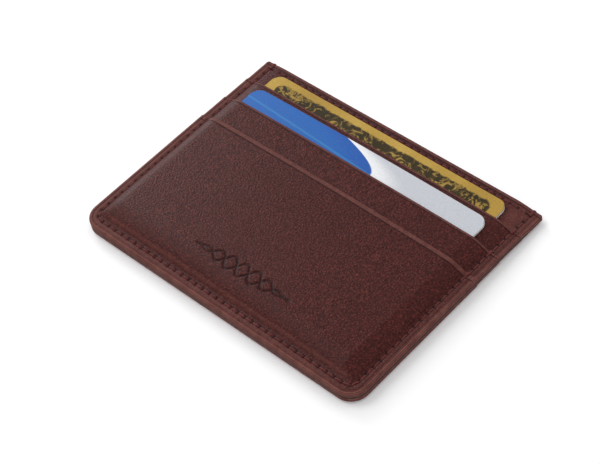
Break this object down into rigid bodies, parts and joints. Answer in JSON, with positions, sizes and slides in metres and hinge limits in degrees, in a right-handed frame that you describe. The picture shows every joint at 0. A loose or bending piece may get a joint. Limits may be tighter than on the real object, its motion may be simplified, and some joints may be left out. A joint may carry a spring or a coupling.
{
  "type": "card wallet",
  "caption": "Slim flat leather card wallet with staggered card slots on both sides, a centre pocket, sewn creased rim and sliding cards.",
  "frame": {"origin": "centre of the wallet's outline, on the surface that its back lies on", "axes": "+X along the width, +Y towards the card openings, +Z out of the front face"},
  "size_m": [0.1016, 0.0762, 0.007],
  "materials": {
    "leather": "smooth dark red-brown leather, fine grain, satin, creased and burnished edges",
    "lining": "thin woven lining",
    "thread": "waxed twisted thread, dusty red-brown",
    "upper_card": "printed gold card, satin laminate",
    "lower_card": "printed blue and silver card, glossy laminate"
  },
  "bodies": {
    "wallet": {"front_centre_lining": "lining", "front_base_panel": "leather", "front_upper_pocket": "leather", "front_middle_pocket": "leather", "front_face_panel": "leather", "back_centre_lining": "lining", "back_base_panel": "leather", "back_upper_pocket": "leather", "back_middle_pocket": "leather", "back_face_panel": "leather", "front_hem_thread": "thread", "back_hem_thread": "thread", "front_upper_stop_thread": "thread", "front_middle_stop_thread": "thread", "back_upper_stop_thread": "thread", "back_middle_stop_thread": "thread", "front_seam_thread": "thread", "back_seam_thread": "thread"},
    "upper_card_body": {"upper_card": "upper_card"},
    "lower_card_body": {"lower_card": "lower_card"}
  },
  "joints": [
    {"name": "upper_card_slide", "type": "slide", "parent": "wallet", "child": "upper_card_body", "axis": [0, 1, 0], "range_m": [0, 0.058]},
    {"name": "lower_card_slide", "type": "slide", "parent": "wallet", "child": "lower_card_body", "axis": [0, 1, 0], "range_m": [0, 0.066]}
  ]
}
